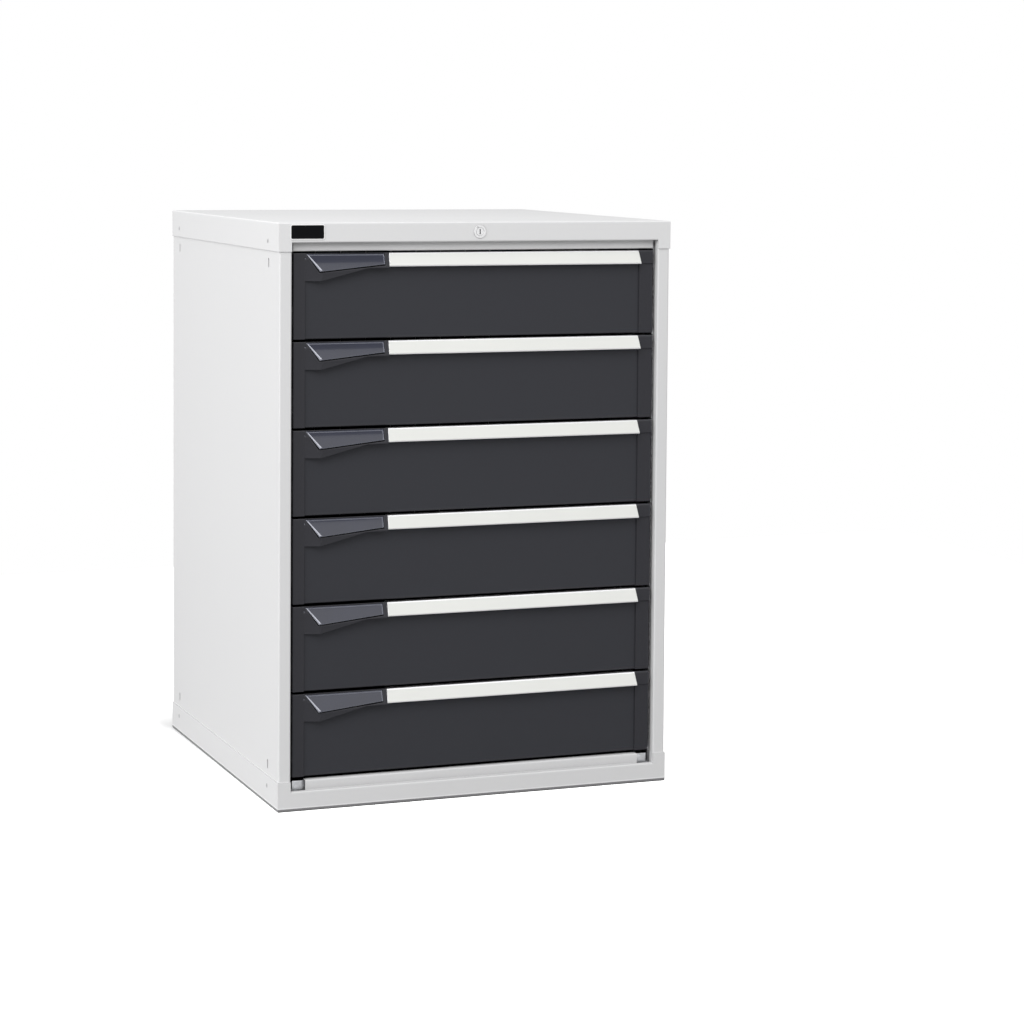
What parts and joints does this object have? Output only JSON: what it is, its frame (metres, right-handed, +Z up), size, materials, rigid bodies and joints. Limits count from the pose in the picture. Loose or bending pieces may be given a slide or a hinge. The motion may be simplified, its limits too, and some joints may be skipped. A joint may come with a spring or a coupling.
{
  "type": "drawer cabinet",
  "caption": "Free-standing steel workshop drawer cabinet with equal full-width drawers on telescopic slides, thumb-lever handle bars and a central lock.",
  "frame": {"origin": "centre of the cabinet's footprint, on the floor", "axes": "+Z up, the drawers open towards -Y, +X to the right as seen from the front"},
  "size_m": [0.717, 0.725, 1],
  "materials": {
    "cabinet_paint": "light grey powder coat, semi-matt",
    "drawer_paint": "anthracite powder coat, semi-matt",
    "zinc": "zinc-plated steel",
    "lock_metal": "satin chrome",
    "handle_profile": "satin anodised",
    "label_strip": "white card strip under a clear film",
    "dark_plastic": "anthracite moulded plastic",
    "lever_plastic": "glossy dark blue-grey translucent plastic"
  },
  "bodies": {
    "cabinet": {"side_left": "cabinet_paint", "side_right": "cabinet_paint", "back_panel": "cabinet_paint", "top_cover": "cabinet_paint", "base": "cabinet_paint", "posts": "zinc", "rails": "zinc", "lock_body": "lock_metal", "lock_post": "zinc", "screws": "zinc"},
    "lock_plug": {"lock_plug": "lock_metal"},
    "lock_bar": {"lock_bar": "zinc"},
    "drawer_1": {"drawer_1_tray": "drawer_paint", "drawer_1_front": "drawer_paint", "drawer_1_handle": "handle_profile", "drawer_1_label": "label_strip", "drawer_1_grip": "dark_plastic", "drawer_1_cap": "dark_plastic"},
    "catch_1": {"drawer_1_catch": "lever_plastic"},
    "slides_1": {"drawer_1_slides": "zinc"},
    "drawer_2": {"drawer_2_tray": "drawer_paint", "drawer_2_front": "drawer_paint", "drawer_2_handle": "handle_profile", "drawer_2_label": "label_strip", "drawer_2_grip": "dark_plastic", "drawer_2_cap": "dark_plastic"},
    "catch_2": {"drawer_2_catch": "lever_plastic"},
    "slides_2": {"drawer_2_slides": "zinc"},
    "drawer_3": {"drawer_3_tray": "drawer_paint", "drawer_3_front": "drawer_paint", "drawer_3_handle": "handle_profile", "drawer_3_label": "label_strip", "drawer_3_grip": "dark_plastic", "drawer_3_cap": "dark_plastic"},
    "catch_3": {"drawer_3_catch": "lever_plastic"},
    "slides_3": {"drawer_3_slides": "zinc"},
    "drawer_4": {"drawer_4_tray": "drawer_paint", "drawer_4_front": "drawer_paint", "drawer_4_handle": "handle_profile", "drawer_4_label": "label_strip", "drawer_4_grip": "dark_plastic", "drawer_4_cap": "dark_plastic"},
    "catch_4": {"drawer_4_catch": "lever_plastic"},
    "slides_4": {"drawer_4_slides": "zinc"},
    "drawer_5": {"drawer_5_tray": "drawer_paint", "drawer_5_front": "drawer_paint", "drawer_5_handle": "handle_profile", "drawer_5_label": "label_strip", "drawer_5_grip": "dark_plastic", "drawer_5_cap": "dark_plastic"},
    "catch_5": {"drawer_5_catch": "lever_plastic"},
    "slides_5": {"drawer_5_slides": "zinc"},
    "drawer_6": {"drawer_6_tray": "drawer_paint", "drawer_6_front": "drawer_paint", "drawer_6_handle": "handle_profile", "drawer_6_label": "label_strip", "drawer_6_grip": "dark_plastic", "drawer_6_cap": "dark_plastic"},
    "catch_6": {"drawer_6_catch": "lever_plastic"},
    "slides_6": {"drawer_6_slides": "zinc"}
  },
  "joints": [
    {"name": "drawer_1_slide", "type": "slide", "parent": "cabinet", "child": "drawer_1", "axis": [0, -1, 0], "range_m": [0, 0.59]},
    {"name": "slides_1_slide", "type": "slide", "parent": "cabinet", "child": "slides_1", "axis": [0, -1, 0], "range_m": [0, 0.295]},
    {"name": "catch_1_press", "type": "hinge", "parent": "drawer_1", "child": "catch_1", "pos_m": [-0.25, -0.3492, 0.939], "axis": [1, 0, 0], "range_deg": [0, 10], "stiffness_Nm_per_rad": 0.15, "springref_deg": -11.46},
    {"name": "drawer_2_slide", "type": "slide", "parent": "cabinet", "child": "drawer_2", "axis": [0, -1, 0], "range_m": [0, 0.59]},
    {"name": "slides_2_slide", "type": "slide", "parent": "cabinet", "child": "slides_2", "axis": [0, -1, 0], "range_m": [0, 0.295]},
    {"name": "catch_2_press", "type": "hinge", "parent": "drawer_2", "child": "catch_2", "pos_m": [-0.25, -0.3492, 0.789], "axis": [1, 0, 0], "range_deg": [0, 10], "stiffness_Nm_per_rad": 0.15, "springref_deg": -11.46},
    {"name": "drawer_3_slide", "type": "slide", "parent": "cabinet", "child": "drawer_3", "axis": [0, -1, 0], "range_m": [0, 0.59]},
    {"name": "slides_3_slide", "type": "slide", "parent": "cabinet", "child": "slides_3", "axis": [0, -1, 0], "range_m": [0, 0.295]},
    {"name": "catch_3_press", "type": "hinge", "parent": "drawer_3", "child": "catch_3", "pos_m": [-0.25, -0.3492, 0.639], "axis": [1, 0, 0], "range_deg": [0, 10], "stiffness_Nm_per_rad": 0.15, "springref_deg": -11.46},
    {"name": "drawer_4_slide", "type": "slide", "parent": "cabinet", "child": "drawer_4", "axis": [0, -1, 0], "range_m": [0, 0.59]},
    {"name": "slides_4_slide", "type": "slide", "parent": "cabinet", "child": "slides_4", "axis": [0, -1, 0], "range_m": [0, 0.295]},
    {"name": "catch_4_press", "type": "hinge", "parent": "drawer_4", "child": "catch_4", "pos_m": [-0.25, -0.3492, 0.489], "axis": [1, 0, 0], "range_deg": [0, 10], "stiffness_Nm_per_rad": 0.15, "springref_deg": -11.46},
    {"name": "drawer_5_slide", "type": "slide", "parent": "cabinet", "child": "drawer_5", "axis": [0, -1, 0], "range_m": [0, 0.59]},
    {"name": "slides_5_slide", "type": "slide", "parent": "cabinet", "child": "slides_5", "axis": [0, -1, 0], "range_m": [0, 0.295]},
    {"name": "catch_5_press", "type": "hinge", "parent": "drawer_5", "child": "catch_5", "pos_m": [-0.25, -0.3492, 0.339], "axis": [1, 0, 0], "range_deg": [0, 10], "stiffness_Nm_per_rad": 0.15, "springref_deg": -11.46},
    {"name": "drawer_6_slide", "type": "slide", "parent": "cabinet", "child": "drawer_6", "axis": [0, -1, 0], "range_m": [0, 0.59]},
    {"name": "slides_6_slide", "type": "slide", "parent": "cabinet", "child": "slides_6", "axis": [0, -1, 0], "range_m": [0, 0.295]},
    {"name": "catch_6_press", "type": "hinge", "parent": "drawer_6", "child": "catch_6", "pos_m": [-0.25, -0.3492, 0.189], "axis": [1, 0, 0], "range_deg": [0, 10], "stiffness_Nm_per_rad": 0.15, "springref_deg": -11.46},
    {"name": "lock_turn", "type": "hinge", "parent": "cabinet", "child": "lock_plug", "pos_m": [0, -0.35, 0.983], "axis": [0, 1, 0], "range_deg": [0, 90]},
    {"name": "lock_bar_drop", "type": "slide", "parent": "cabinet", "child": "lock_bar", "axis": [0, 0, -1], "range_m": [0, 0.01697]}
  ],
  "couplings": [
    {"joint": "slides_1_slide", "follows": "drawer_1_slide", "ratio": 0.5},
    {"joint": "slides_2_slide", "follows": "drawer_2_slide", "ratio": 0.5},
    {"joint": "slides_3_slide", "follows": "drawer_3_slide", "ratio": 0.5},
    {"joint": "slides_4_slide", "follows": "drawer_4_slide", "ratio": 0.5},
    {"joint": "slides_5_slide", "follows": "drawer_5_slide", "ratio": 0.5},
    {"joint": "slides_6_slide", "follows": "drawer_6_slide", "ratio": 0.5},
    {"joint": "lock_turn", "follows": "lock_bar_drop", "rad_per_m": 92.558}
  ]
}
